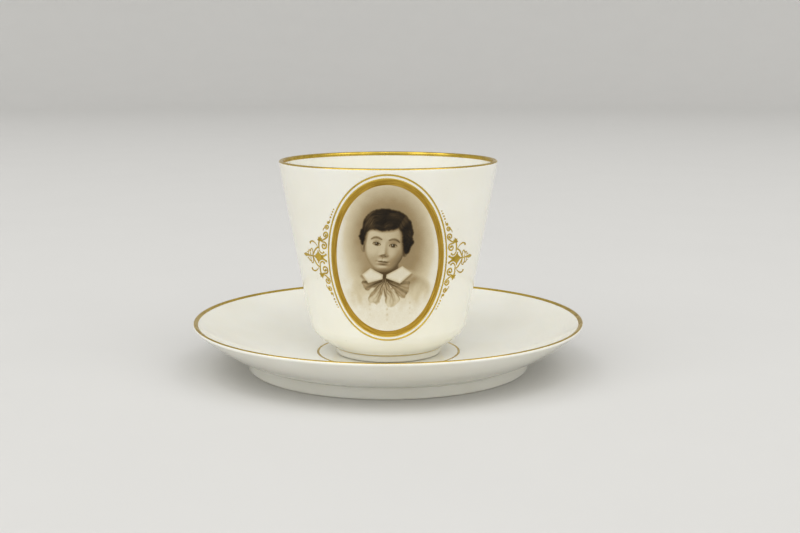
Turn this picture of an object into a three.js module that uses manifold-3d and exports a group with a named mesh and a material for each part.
// A porcelain chocolate cup with its saucer. Millimetres, +Z up, the decorated front of the cup faces -Y.
// The origin is on the table, under the middle of the saucer.
import * as THREE from "three";
import { mergeVertices } from "three/addons/utils/BufferGeometryUtils.js";
import Module from "manifold-3d";

// Saucer: the dish
const SAUCER_RADIUS = 70; // outer edge of the lip
const SAUCER_HEIGHT = 17.2; // table to the crest of the lip
const SAUCER_LIP = 1.3; // thickness of the rounded lip
const SAUCER_LIP_UNDER = -47; // degrees, where the lip's round meets the underside
const SAUCER_LIP_INSIDE = 122; // degrees, where it meets the inside
const WELL_RADIUS = 24; // flat floor that the cup stands on
const WELL_HEIGHT = 4.6; // table to that floor
const WELL_FLOOR = 2.8; // thickness of that floor
const DISH_RISE = 2.5; // power of the curve from the well up to the lip, inside
const DISH_UNDER_RISE = 1.42; // the same for the underside, from the foot ring up to the lip

// Saucer: the foot ring
const SAUCER_FOOT_RADIUS = 50.8; // outside of the ring on the table
const SAUCER_FOOT_WIDTH = 3.4; // width of the ring
const SAUCER_FOOT_HEIGHT = 4.2; // table to the dish's underside

// Cup: the bowl
const CUP_HEIGHT = 69.6; // foot to the crest of the lip
const CUP_MOUTH_RADIUS = 38.8; // outside of the wall at the lip
const CUP_KNUCKLE_RADIUS = 28.15; // outside of the wall where it starts to round in
const CUP_KNUCKLE_HEIGHT = 11.1; // foot to that start
const CUP_WALL_BOW = 0.22; // how far the wall swells out from a straight cone
const CUP_LIP = 1.6; // thickness of the rounded lip
const CUP_WALL = 2.4; // thickness of the wall at the knuckle
const CUP_FLOOR = 2.6; // thickness of the bottom
const CUP_UNDER_SLOPE = 33; // degrees, rise of the underside from the foot ring to the knuckle

// Cup: the foot ring
const CUP_FOOT_RADIUS = 19.2; // outside of the ring
const CUP_FOOT_WIDTH = 2.8; // width of the ring
const CUP_FOOT_HEIGHT = 2.2; // height of the ring
const CUP_FOOT_RECESS = 1.3; // how far the bottom stands clear inside the ring

// Cup: the handle
const HANDLE_TOP = 57.5; // foot to the middle of the upper root
const HANDLE_BOTTOM = 23.5; // foot to the middle of the lower root
const HANDLE_REACH = 24; // how far the loop stands out from the wall at the upper root
const HANDLE_WIDTH = 6.4; // across the handle
const HANDLE_THICKNESS = 4.6; // in the plane of the loop
const HANDLE_SINK = 3; // how far the loop's ends run on before the wall cuts them

// Gilding
const GOLD_THICKNESS = 0.2; // thickness of every layer of gold and of the picture
const LIP_BAND_OUTSIDE = 0.45; // below the cup's crest, outside
const LIP_BAND_INSIDE = 1.5; // below the cup's crest, inside
const FOOT_LINE_WIDTH = 0.85; // gold line above the cup's foot ring
const SAUCER_BAND_WIDTH = 1.6; // gold band on the saucer's lip
const WELL_LINE_RADIUS = 25.6; // middle of the gold line round the well
const WELL_LINE_WIDTH = 0.7;
const HANDLE_LINE_WIDTH = 1.2; // gold line along the handle

// Medallion, measured along the wall
const MEDALLION_TOP_GAP = 1.83; // crest of the lip to the top of the thin oval
const MEDALLION_FOOT_DROP = 1.27; // start of the knuckle down to the foot of the thin oval
const PICTURE_HALF_WIDTH = 17.9;
const BAND_WIDTH = 2.3; // broad gold oval
const BAND_GAP = 0.7; // bare glaze between the broad oval and the thin one
const LINE_WIDTH = 0.55; // thin gold oval

// Scrolls beside the medallion, measured outward from their inner edge and up from their own middle line
const SCROLL_DROP = 0.75; // from the medallion's middle down to the scrolls' middle line
const SCROLL_STROKE = 0.5; // width of a scroll's stroke
const LOZENGE_OUT = 4.4; // middle of the lozenge
const LOZENGE_HALF_WIDTH = 2.3;
const LOZENGE_HALF_HEIGHT = 2.1;
const BUD_TIP = 13.4; // tip of the bud, the outermost point
const BUD_LENGTH = 4.4;
const BUD_HALF_WIDTH = 0.85;
const PETAL_LENGTH = 2.1; // leaves behind the bud
const NODE_OUT = 3.5; // knot of leaves that the scrolls spring from
const NODE_UP = 6.3;
const NODE_LEAF = 1.3; // length of its leaves
const LARGE_SCROLL_OUT = 1.75;
const LARGE_SCROLL_UP = 4.2;
const LARGE_SCROLL_RADIUS = 1.2;
const MIDDLE_SCROLL_OUT = 1.3;
const MIDDLE_SCROLL_UP = 8.05;
const MIDDLE_SCROLL_RADIUS = 0.9;
const SMALL_SCROLL_OUT = 1.1;
const SMALL_SCROLL_UP = 10.5;
const SMALL_SCROLL_RADIUS = 0.7;
const TENDRIL_OUT = 8.5; // hooked end of the tendril
const TENDRIL_UP = 5.4;
const CURL_TURN = 400; // degrees that the large and middle scrolls wind
const SMALL_CURL_TURN = 380; // the same for the small scroll
const CURL_START = 120; // degrees, outer end of the large scroll
const TAIL_UP = 17; // last bead of the tail along the oval
const TAIL_STROKE = 0.3;

// Fits
const LUTE_GAP = 0.1; // between clay pieces that are stuck together
const GLAZE_GAP = 0.12; // between the glaze and what is laid on it
const REST_GAP = 0.1; // between the cup's foot and the well
const SCROLL_GAP = 0.4; // between the thin oval and the scrolls

// Fineness of the mesh
const TURNED_SIDES = 48;
const OVAL_SIDES = 48;
const HANDLE_STEPS = 28;
const HANDLE_SIDES = 12;

const wasm = await Module();
wasm.setup();

const porcelain = new THREE.MeshStandardMaterial({ color: 0xf1eee0, roughness: 0.12, metalness: 0 });
const gold = new THREE.MeshStandardMaterial({ color: 0xc9992f, roughness: 0.25, metalness: 1 });
const mattGold = new THREE.MeshStandardMaterial({ color: 0xa9812b, roughness: 0.5, metalness: 1 });
const sepia = new THREE.MeshStandardMaterial({ color: 0xb3a58c, roughness: 0.2, metalness: 0 });

const at = (x, y) => new THREE.Vector2(x, y);

// Solids and meshes

function toSolid(geometry) {
  const bare = geometry.clone();
  bare.deleteAttribute("normal");
  bare.deleteAttribute("uv");
  const merged = mergeVertices(bare, 1e-4);
  return new wasm.Manifold(
    new wasm.Mesh({
      numProp: 3,
      vertProperties: merged.attributes.position.array,
      triVerts: new Uint32Array(merged.index.array),
    }),
  );
}

function toGeometry(solid) {
  const mesh = solid.getMesh();
  const geometry = new THREE.BufferGeometry();
  geometry.setAttribute("position", new THREE.BufferAttribute(mesh.vertProperties, 3));
  geometry.setIndex(new THREE.BufferAttribute(mesh.triVerts, 1));
  geometry.computeVertexNormals();
  return geometry;
}

function piece(name, geometry, material) {
  const mesh = new THREE.Mesh(geometry, material);
  mesh.name = name;
  return mesh;
}

// A profile of (radius, height) points turned about the Z axis. The profile runs anticlockwise round the clay.
function turned(profile) {
  return new THREE.LatheGeometry(profile, TURNED_SIDES).rotateX(Math.PI / 2);
}

// A closed ring profile that follows an outline at a gap, with its clay on the outline's right-hand side.
function skin(outline, gap, thickness) {
  const offset = (distance) =>
    outline.map((point, i) => {
      const before = outline[Math.max(i - 1, 0)];
      const after = outline[Math.min(i + 1, outline.length - 1)];
      const along = after.clone().sub(before).normalize();
      return at(point.x + along.y * distance, point.y - along.x * distance);
    });
  const ring = [...offset(gap + thickness), ...offset(gap).reverse()];
  return [...ring, ring[0].clone()];
}

// Points of an arc, angles in degrees, both ends included.
function arc(centre, radius, from, to, steps) {
  const points = [];
  for (let i = 0; i <= steps; i++) {
    const angle = THREE.MathUtils.degToRad(from + ((to - from) * i) / steps);
    points.push(at(centre.x + radius * Math.cos(angle), centre.y + radius * Math.sin(angle)));
  }
  return points;
}

// Saucer

const saucerCrest = at(SAUCER_RADIUS - SAUCER_LIP / 2, SAUCER_HEIGHT - GOLD_THICKNESS - GLAZE_GAP - SAUCER_LIP / 2);
const footSeat = SAUCER_FOOT_HEIGHT + LUTE_GAP;
const footInside = SAUCER_FOOT_RADIUS - SAUCER_FOOT_WIDTH;

// The lip's round, from the underside over the crest to the inside
const lipRound = arc(saucerCrest, SAUCER_LIP / 2, SAUCER_LIP_UNDER, SAUCER_LIP_INSIDE, 6);
const lipUnder = lipRound[0];
const lipInside = lipRound.at(-1);

// Height of the dish's inside at a radius
function dishHeight(radius) {
  const share = Math.max(0, (radius - WELL_RADIUS) / (lipInside.x - WELL_RADIUS));
  return WELL_HEIGHT + (lipInside.y - WELL_HEIGHT) * share ** DISH_RISE;
}

// Height of the dish's underside at a radius, outside the foot ring
function underHeight(radius) {
  const share = (radius - SAUCER_FOOT_RADIUS) / (lipUnder.x - SAUCER_FOOT_RADIUS);
  return footSeat + (lipUnder.y - footSeat) * share ** DISH_UNDER_RISE;
}

function stepsBetween(from, to, count) {
  return Array.from({ length: count - 1 }, (_, i) => from + ((to - from) * (i + 1)) / count);
}

function saucerDish() {
  const floorUnder = WELL_HEIGHT - WELL_FLOOR;
  const shoulder = footInside - LUTE_GAP;
  const profile = [
    at(0, floorUnder),
    at(shoulder, floorUnder),
    at(shoulder, footSeat),
    at(SAUCER_FOOT_RADIUS, footSeat),
    ...stepsBetween(SAUCER_FOOT_RADIUS, lipUnder.x, 5).map((r) => at(r, underHeight(r))),
    ...lipRound,
    ...stepsBetween(lipInside.x, WELL_RADIUS, 9).map((r) => at(r, dishHeight(r))),
    at(WELL_RADIUS, WELL_HEIGHT),
    at(0, WELL_HEIGHT),
  ];
  return piece("saucer_dish", turned(profile), porcelain);
}

function saucerFootRing() {
  const bevel = SAUCER_FOOT_WIDTH / 5;
  const profile = [
    at(footInside + bevel, 0),
    at(SAUCER_FOOT_RADIUS - bevel, 0),
    at(SAUCER_FOOT_RADIUS, bevel),
    at(SAUCER_FOOT_RADIUS, SAUCER_FOOT_HEIGHT),
    at(footInside, SAUCER_FOOT_HEIGHT),
    at(footInside, bevel),
    at(footInside + bevel, 0),
  ];
  return piece("saucer_foot_ring", turned(profile), porcelain);
}

// The gold runs from the crest of the lip down its inner side.
function saucerLipGilding() {
  const onLip = lipRound.filter((point) => point.x <= saucerCrest.x + SAUCER_LIP / 4 && point.y > saucerCrest.y);
  const end = lipInside.x - SAUCER_BAND_WIDTH + SAUCER_LIP / 2;
  const outline = [...onLip, at(end, dishHeight(end))];
  return piece("saucer_lip_gilding", turned(skin(outline, GLAZE_GAP, GOLD_THICKNESS)), gold);
}

function saucerWellLine() {
  const outer = WELL_LINE_RADIUS + WELL_LINE_WIDTH / 2;
  const inner = WELL_LINE_RADIUS - WELL_LINE_WIDTH / 2;
  const outline = [at(outer, dishHeight(outer)), at(inner, dishHeight(inner))];
  return piece("saucer_well_line", turned(skin(outline, GLAZE_GAP, GOLD_THICKNESS)), gold);
}

// Cup, in its own frame: heights count from the underside of its foot ring

const cupCrest = CUP_HEIGHT - GOLD_THICKNESS - GLAZE_GAP;
const lipMiddle = at(CUP_MOUTH_RADIUS - CUP_LIP / 2, cupCrest - CUP_LIP / 2);
const bottomUnder = CUP_FOOT_RECESS;
const cupSeat = CUP_FOOT_HEIGHT + LUTE_GAP;

// Outside radius of the cone at a height
function coneRadius(height) {
  const share = (height - CUP_KNUCKLE_HEIGHT) / (lipMiddle.y - CUP_KNUCKLE_HEIGHT);
  const straight = CUP_KNUCKLE_RADIUS + (CUP_MOUTH_RADIUS - CUP_KNUCKLE_RADIUS) * share;
  return straight + 4 * CUP_WALL_BOW * share * (1 - share);
}

// Inside radius of the wall at a height
function insideRadius(height) {
  const share = (height - CUP_KNUCKLE_HEIGHT) / (lipMiddle.y - CUP_KNUCKLE_HEIGHT);
  return coneRadius(height) - (CUP_WALL + (CUP_LIP - CUP_WALL) * share);
}

// The underside of the bowl rises from the foot ring and rounds into the cone.
function knuckle() {
  const start = at(CUP_FOOT_RADIUS, cupSeat);
  const end = at(CUP_KNUCKLE_RADIUS, CUP_KNUCKLE_HEIGHT);
  const rise = Math.tan(THREE.MathUtils.degToRad(CUP_UNDER_SLOPE));
  const lean = coneRadius(CUP_KNUCKLE_HEIGHT + 1) - coneRadius(CUP_KNUCKLE_HEIGHT);
  const corner = (start.y + rise * (end.x - lean * end.y - start.x)) / (1 - rise * lean);
  const bend = at(end.x - lean * (end.y - corner), corner);
  const half = start.clone().lerp(bend, 0.35);
  const straight = stepsBetween(0, 1, 2).map((share) => start.clone().lerp(half, share));
  return [start, ...straight, ...new THREE.QuadraticBezierCurve(half, bend, end).getPoints(6)];
}

// Outside radius of the bowl at a height, on the cone or on the knuckle below it
function wallRadius(height) {
  if (height >= CUP_KNUCKLE_HEIGHT) return coneRadius(height);
  const points = knuckle();
  const next = points.findIndex((point) => point.y >= height);
  const [low, high] = [points[next - 1], points[next]];
  return THREE.MathUtils.mapLinear(height, low.y, high.y, low.x, high.x);
}

function cupBowl() {
  const floor = bottomUnder + CUP_FLOOR;
  const shoulder = CUP_FOOT_RADIUS - CUP_FOOT_WIDTH - LUTE_GAP;
  const insideCorner = at(insideRadius(CUP_KNUCKLE_HEIGHT), CUP_KNUCKLE_HEIGHT);
  const insideFloor = at(CUP_FOOT_RADIUS, cupSeat + CUP_FLOOR);
  const insideBend = new THREE.QuadraticBezierCurve(
    insideCorner,
    at(insideCorner.x - CUP_LIP, insideFloor.y + CUP_LIP),
    insideFloor,
  );
  const heights = stepsBetween(CUP_KNUCKLE_HEIGHT, lipMiddle.y, 4);
  const profile = [
    at(0, bottomUnder),
    at(shoulder, bottomUnder),
    at(shoulder, cupSeat),
    ...knuckle(),
    ...heights.map((h) => at(wallRadius(h), h)),
    ...arc(lipMiddle, CUP_LIP / 2, 0, 180, 6),
    ...heights.reverse().map((h) => at(insideRadius(h), h)),
    ...insideBend.getPoints(4),
    at(shoulder, floor),
    at(0, floor),
  ];
  return piece("cup_bowl", turned(profile), porcelain);
}

function cupFootRing() {
  const inside = CUP_FOOT_RADIUS - CUP_FOOT_WIDTH;
  const bevel = CUP_FOOT_WIDTH / 5;
  const profile = [
    at(inside + bevel, 0),
    at(CUP_FOOT_RADIUS - bevel, 0),
    at(CUP_FOOT_RADIUS, bevel),
    at(CUP_FOOT_RADIUS, CUP_FOOT_HEIGHT),
    at(inside, CUP_FOOT_HEIGHT),
    at(inside, bevel),
    at(inside + bevel, 0),
  ];
  return piece("cup_foot_ring", turned(profile), porcelain);
}

function cupLipGilding() {
  const start = Math.asin(Math.max(0, 1 - LIP_BAND_OUTSIDE / (CUP_LIP / 2)));
  const inside = cupCrest - LIP_BAND_INSIDE;
  const outline = [
    ...arc(lipMiddle, CUP_LIP / 2, THREE.MathUtils.radToDeg(start), 180, 4),
    at(insideRadius(inside), inside),
  ];
  return piece("cup_lip_gilding", turned(skin(outline, GLAZE_GAP, GOLD_THICKNESS)), gold);
}

function cupFootLine() {
  const [start, next] = knuckle();
  const along = next.clone().sub(start).normalize();
  const first = start.clone().addScaledVector(along, GLAZE_GAP);
  const last = first.clone().addScaledVector(along, FOOT_LINE_WIDTH);
  const ring = skin([first, last], GLAZE_GAP, GOLD_THICKNESS);
  return piece("cup_foot_line", turned(ring), gold);
}

// Handle

// The loop's middle line leaves the wall below the lip, swings out and returns above the knuckle.
function handleLine() {
  const upper = wallRadius(HANDLE_TOP);
  const lower = wallRadius(HANDLE_BOTTOM);
  const drop = HANDLE_TOP - HANDLE_BOTTOM;
  const inLoop = (radius, height) => new THREE.Vector3(0, radius, height);
  return new THREE.CatmullRomCurve3([
    inLoop(upper - HANDLE_SINK, HANDLE_TOP - HANDLE_SINK / 3),
    inLoop(upper + HANDLE_REACH * 0.3, HANDLE_TOP + drop * 0.08),
    inLoop(upper + HANDLE_REACH * 0.72, HANDLE_TOP + drop * 0.04),
    inLoop(upper + HANDLE_REACH - HANDLE_THICKNESS / 2, HANDLE_TOP - drop * 0.25),
    inLoop(upper + HANDLE_REACH * 0.72, HANDLE_BOTTOM + drop * 0.38),
    inLoop(lower + HANDLE_REACH * 0.42, HANDLE_BOTTOM + drop * 0.12),
    inLoop(lower - HANDLE_SINK, HANDLE_BOTTOM - HANDLE_SINK / 2),
  ]);
}

// A solid cone of the bowl's outside, larger by a gap, that trims what is stuck on the wall.
function wallCutter(gap) {
  const heights = [CUP_KNUCKLE_HEIGHT, ...stepsBetween(CUP_KNUCKLE_HEIGHT, lipMiddle.y, 4), lipMiddle.y];
  const side = heights.map((h) => at(wallRadius(h) + gap, h));
  return toSolid(turned([at(0, side[0].y), ...side, at(0, side.at(-1).y)]));
}

function ovalSection(halfWidth, halfThickness) {
  const section = new THREE.Shape();
  section.absellipse(0, 0, halfWidth, halfThickness, 0, Math.PI * 2);
  return section;
}

function cupHandle() {
  const loop = new THREE.ExtrudeGeometry(ovalSection(HANDLE_WIDTH / 2, HANDLE_THICKNESS / 2), {
    steps: HANDLE_STEPS,
    curveSegments: HANDLE_SIDES / 2,
    extrudePath: handleLine(),
  });
  return piece("cup_handle", toGeometry(toSolid(loop).subtract(wallCutter(LUTE_GAP))), porcelain);
}

// A strip that follows the outer side of the loop.
function handleGilding() {
  const line = handleLine();
  const outer = [];
  for (let i = 0; i <= HANDLE_STEPS; i++) {
    const along = line.getTangentAt(i / HANDLE_STEPS);
    const outward = new THREE.Vector3(0, -along.z, along.y);
    const lift = HANDLE_THICKNESS / 2 + GLAZE_GAP + GOLD_THICKNESS / 2;
    outer.push(line.getPointAt(i / HANDLE_STEPS).addScaledVector(outward, lift));
  }
  const section = new THREE.Shape();
  section.moveTo(-HANDLE_LINE_WIDTH / 2, -GOLD_THICKNESS / 2);
  section.lineTo(HANDLE_LINE_WIDTH / 2, -GOLD_THICKNESS / 2);
  section.lineTo(HANDLE_LINE_WIDTH / 2, GOLD_THICKNESS / 2);
  section.lineTo(-HANDLE_LINE_WIDTH / 2, GOLD_THICKNESS / 2);
  const strip = new THREE.ExtrudeGeometry(section, {
    steps: HANDLE_STEPS,
    extrudePath: new THREE.CatmullRomCurve3(outer),
  });
  return piece("handle_gilding", toGeometry(toSolid(strip).subtract(wallCutter(GLAZE_GAP))), gold);
}

// Decoration on the wall

// The ovals fill the cone from the lip to the knuckle, whatever the cup's height.
const bandStart = GLAZE_GAP;
const lineStart = bandStart + BAND_WIDTH + BAND_GAP;
const scrollStart = lineStart + LINE_WIDTH + SCROLL_GAP;
const medallionTop = CUP_HEIGHT - MEDALLION_TOP_GAP;
const medallionFoot = CUP_KNUCKLE_HEIGHT - MEDALLION_FOOT_DROP;
const medallionMiddle = (medallionTop + medallionFoot) / 2;
const pictureHalfHeight = (medallionTop - medallionFoot) / 2 - lineStart - LINE_WIDTH;

// A point of the flat design, across and up from the medallion's middle, laid on the wall and lifted off it.
function onWall(across, up, lift) {
  const height = medallionMiddle + up;
  const radius = wallRadius(height);
  const turn = across / radius;
  return new THREE.Vector3((radius + lift) * Math.sin(turn), -(radius + lift) * Math.cos(turn), height);
}

// A closed plate on the wall between rings of flat points, from the outer ring to the inner one.
// With no hole, the innermost ring is filled from its middle.
function wallPlate(rings, filled) {
  const low = GLAZE_GAP;
  const high = GLAZE_GAP + GOLD_THICKNESS;
  const positions = [];
  const index = [];
  const sides = rings[0].length;
  const addLayer = (lift) => rings.flat().forEach((p) => positions.push(...onWall(p.x, p.y, lift).toArray()));
  addLayer(low);
  addLayer(high);
  const layer = rings.length * sides;
  const vertex = (top, ring, i) => (top ? layer : 0) + ring * sides + (i % sides);
  const quad = (a, b, c, d) => index.push(a, b, c, a, c, d);
  for (let i = 0; i < sides; i++) {
    for (let ring = 0; ring + 1 < rings.length; ring++) {
      quad(vertex(1, ring, i), vertex(1, ring, i + 1), vertex(1, ring + 1, i + 1), vertex(1, ring + 1, i));
      quad(vertex(0, ring, i + 1), vertex(0, ring, i), vertex(0, ring + 1, i), vertex(0, ring + 1, i + 1));
    }
    quad(vertex(0, 0, i), vertex(0, 0, i + 1), vertex(1, 0, i + 1), vertex(1, 0, i));
    const last = rings.length - 1;
    if (!filled) quad(vertex(0, last, i + 1), vertex(0, last, i), vertex(1, last, i), vertex(1, last, i + 1));
  }
  if (filled) {
    const last = rings.length - 1;
    const lowMiddle = positions.length / 3;
    positions.push(...onWall(0, 0, low).toArray(), ...onWall(0, 0, high).toArray());
    for (let i = 0; i < sides; i++) {
      index.push(vertex(1, last, i), vertex(1, last, i + 1), lowMiddle + 1);
      index.push(vertex(0, last, i + 1), vertex(0, last, i), lowMiddle);
    }
  }
  const geometry = new THREE.BufferGeometry();
  geometry.setAttribute("position", new THREE.Float32BufferAttribute(positions, 3));
  geometry.setIndex(index);
  geometry.computeVertexNormals();
  return geometry;
}

// Flat points of an oval that stands outside the picture's edge by a distance.
function oval(beyond) {
  return new THREE.EllipseCurve(
    0,
    0,
    PICTURE_HALF_WIDTH + beyond,
    pictureHalfHeight + beyond,
  )
    .getPoints(OVAL_SIDES)
    .slice(0, OVAL_SIDES);
}

function medallionPicture() {
  const shares = [1, 0.75, 0.5, 0.25];
  const rings = shares.map((share) => oval(0).map((p) => p.clone().multiplyScalar(share)));
  return piece("medallion_picture", wallPlate(rings, true), sepia);
}

function medallionBand() {
  return piece("medallion_band", wallPlate([oval(bandStart + BAND_WIDTH), oval(bandStart)], false), mattGold);
}

function medallionLine() {
  return piece("medallion_line", wallPlate([oval(lineStart + LINE_WIDTH), oval(lineStart)], false), gold);
}

// Scrolls: flat strokes are joined into one plate, which is then laid on the wall

function flatSolid(shape) {
  return toSolid(new THREE.ExtrudeGeometry(shape, { depth: GOLD_THICKNESS, bevelEnabled: false, curveSegments: 6 }));
}

// A flat stroke of even width along points.
function stroke(points, width) {
  const sides = [1, -1].map((side) =>
    points.map((point, i) => {
      const before = points[Math.max(i - 1, 0)];
      const after = points[Math.min(i + 1, points.length - 1)];
      const along = after.clone().sub(before).normalize();
      return at(point.x - (along.y * side * width) / 2, point.y + (along.x * side * width) / 2);
    }),
  );
  return flatSolid(new THREE.Shape([...sides[0], ...sides[1].reverse()]));
}

function smooth(points, steps) {
  return new THREE.SplineCurve(points).getPoints(steps);
}

function bead(centre, radius) {
  return flatSolid(new THREE.Shape(arc(centre, radius, 0, 300, 5)));
}

// A pointed leaf, its angle in degrees.
function leaf(root, angle, length, halfWidth) {
  const along = at(1, 0).rotateAround(at(0, 0), THREE.MathUtils.degToRad(angle));
  const across = at(-along.y, along.x).multiplyScalar(halfWidth);
  const tip = root.clone().addScaledVector(along, length);
  const middle = root.clone().lerp(tip, 0.45);
  return flatSolid(new THREE.Shape([root, middle.clone().sub(across), tip, middle.clone().add(across)]));
}

// Points of a curl from its outer end, which lies at an angle in degrees, winding in.
function curl(centre, radius, from, turn, steps) {
  return Array.from({ length: steps + 1 }, (_, i) => {
    const angle = THREE.MathUtils.degToRad(from + (turn * i) / steps);
    const reach = radius * (1 - (0.62 * i) / steps);
    return at(centre.x + reach * Math.cos(angle), centre.y + reach * Math.sin(angle));
  });
}

// The upper half of the scrolls: x runs outward from their inner edge and y up from their middle line.
function halfScrolls() {
  const node = at(NODE_OUT, NODE_UP);
  const large = curl(at(LARGE_SCROLL_OUT, LARGE_SCROLL_UP), LARGE_SCROLL_RADIUS, CURL_START, CURL_TURN, 9);
  const middle = curl(at(MIDDLE_SCROLL_OUT, MIDDLE_SCROLL_UP), MIDDLE_SCROLL_RADIUS, -CURL_START, -CURL_TURN, 9);
  const small = curl(at(SMALL_SCROLL_OUT, SMALL_SCROLL_UP), SMALL_SCROLL_RADIUS, -CURL_START, -SMALL_CURL_TURN, 8);
  const lozengeLeft = at(LOZENGE_OUT - LOZENGE_HALF_WIDTH * 0.8, 0);
  const stemBend = at((NODE_OUT + LOZENGE_OUT) / 2 + LOZENGE_HALF_WIDTH * 0.2, (NODE_UP + LOZENGE_HALF_HEIGHT) / 2);
  const lozengeRight = LOZENGE_OUT + LOZENGE_HALF_WIDTH;
  const stem = [
    node,
    stemBend,
    at(LOZENGE_OUT + LOZENGE_HALF_WIDTH * 0.6, LOZENGE_HALF_HEIGHT * 1.3),
    at(lozengeRight + SCROLL_STROKE, LOZENGE_HALF_HEIGHT * 0.7),
    at(lozengeRight + SCROLL_STROKE, 0),
  ];
  const tendril = [
    stemBend,
    at((stemBend.x * 2 + TENDRIL_OUT) / 3, TENDRIL_UP * 0.9),
    at((stemBend.x + TENDRIL_OUT * 2) / 3, TENDRIL_UP + SCROLL_STROKE / 2),
    at(TENDRIL_OUT, TENDRIL_UP - SCROLL_STROKE),
  ];
  const inner = at(lozengeLeft.x - SCROLL_STROKE * 1.6, LOZENGE_HALF_HEIGHT * 0.55);
  const innerEnd = at(lozengeLeft.x, LOZENGE_HALF_HEIGHT * 0.9);
  const tailTop = at(SMALL_SCROLL_OUT / 2, TAIL_UP);
  const largeStart = smooth([node, at((NODE_OUT + large[0].x) / 2, NODE_UP), large[0]], 4).slice(0, -1);
  const parts = [
    stroke([...largeStart, ...large], SCROLL_STROKE),
    stroke([node, ...middle], SCROLL_STROKE),
    stroke([middle[3], ...small], SCROLL_STROKE),
    stroke(smooth(stem, 9), SCROLL_STROKE),
    stroke(smooth(tendril, 7), SCROLL_STROKE * 0.9),
    bead(tendril.at(-1), SCROLL_STROKE * 0.7),
    stroke(smooth([lozengeLeft, inner, innerEnd], 5), SCROLL_STROKE),
    stroke([small[2], tailTop], TAIL_STROKE),
  ];
  for (const share of [0.2, 0.4, 0.6, 0.8, 1]) {
    parts.push(bead(small[2].clone().lerp(tailTop, share), TAIL_STROKE * 1.25));
  }
  for (const angle of [20, 75, 130]) {
    parts.push(leaf(node, angle, NODE_LEAF, NODE_LEAF / 3));
  }
  for (const share of [0.14, 0.46, 0.78]) {
    const root = at(lozengeRight + (BUD_TIP - BUD_LENGTH - lozengeRight) * share, 0);
    parts.push(leaf(root, 62 - 20 * share, PETAL_LENGTH * (1.1 - 0.35 * share), PETAL_LENGTH / 6));
  }
  return parts;
}

// Distance from the medallion's upright middle line to the inner edge of the scrolls at a height
function scrollEdge(up) {
  const halfHeight = pictureHalfHeight + scrollStart;
  return (PICTURE_HALF_WIDTH + scrollStart) * Math.sqrt(1 - (up / halfHeight) ** 2);
}

// Both halves of the flat scrolls with the lozenge and the bud on their middle line, as one plate.
function flatScrolls() {
  const lozenge = new THREE.Shape();
  const corners = [
    at(LOZENGE_OUT + LOZENGE_HALF_WIDTH, 0),
    at(LOZENGE_OUT, LOZENGE_HALF_HEIGHT),
    at(LOZENGE_OUT - LOZENGE_HALF_WIDTH, 0),
    at(LOZENGE_OUT, -LOZENGE_HALF_HEIGHT),
  ];
  lozenge.moveTo(corners[3].x, corners[3].y);
  corners.forEach((corner, i) => {
    const before = corners[(i + 3) % 4];
    const bend = before.clone().lerp(corner, 0.5).lerp(at(LOZENGE_OUT, 0), 0.25);
    lozenge.quadraticCurveTo(bend.x, bend.y, corner.x, corner.y);
  });
  const upper = wasm.Manifold.union(halfScrolls());
  const stem = stroke([at(LOZENGE_OUT, 0), at(BUD_TIP - BUD_LENGTH / 2, 0)], SCROLL_STROKE);
  const bud = leaf(at(BUD_TIP - BUD_LENGTH, 0), 0, BUD_LENGTH, BUD_HALF_WIDTH);
  return wasm.Manifold.union([upper, upper.mirror([0, 1, 0]), flatSolid(lozenge), stem, bud]);
}

// Lays the flat scrolls on the wall. Side 1 is right of the medallion and -1 left.
function scrolls(name, side) {
  const flat = flatScrolls().getMesh();
  const positions = [];
  for (let i = 0; i < flat.vertProperties.length; i += flat.numProp) {
    const [out, along, depth] = flat.vertProperties.subarray(i, i + 3);
    const up = along - SCROLL_DROP;
    positions.push(...onWall(side * (scrollEdge(up) + out), up, GLAZE_GAP + depth).toArray());
  }
  const index = [...flat.triVerts];
  if (side < 0) index.reverse();
  const geometry = new THREE.BufferGeometry();
  geometry.setAttribute("position", new THREE.Float32BufferAttribute(positions, 3));
  geometry.setIndex(index);
  geometry.computeVertexNormals();
  return piece(name, geometry, gold);
}

// The whole object

const saucer = new THREE.Group();
saucer.add(saucerDish(), saucerFootRing(), saucerLipGilding(), saucerWellLine());

const cup = new THREE.Group();
cup.position.z = WELL_HEIGHT + REST_GAP;
cup.add(
  cupBowl(),
  cupFootRing(),
  cupHandle(),
  cupLipGilding(),
  cupFootLine(),
  handleGilding(),
  medallionPicture(),
  medallionBand(),
  medallionLine(),
  scrolls("left_scrolls", -1),
  scrolls("right_scrolls", 1),
);

const chocolateCup = new THREE.Group();
chocolateCup.add(saucer, cup);

export default chocolateCup;
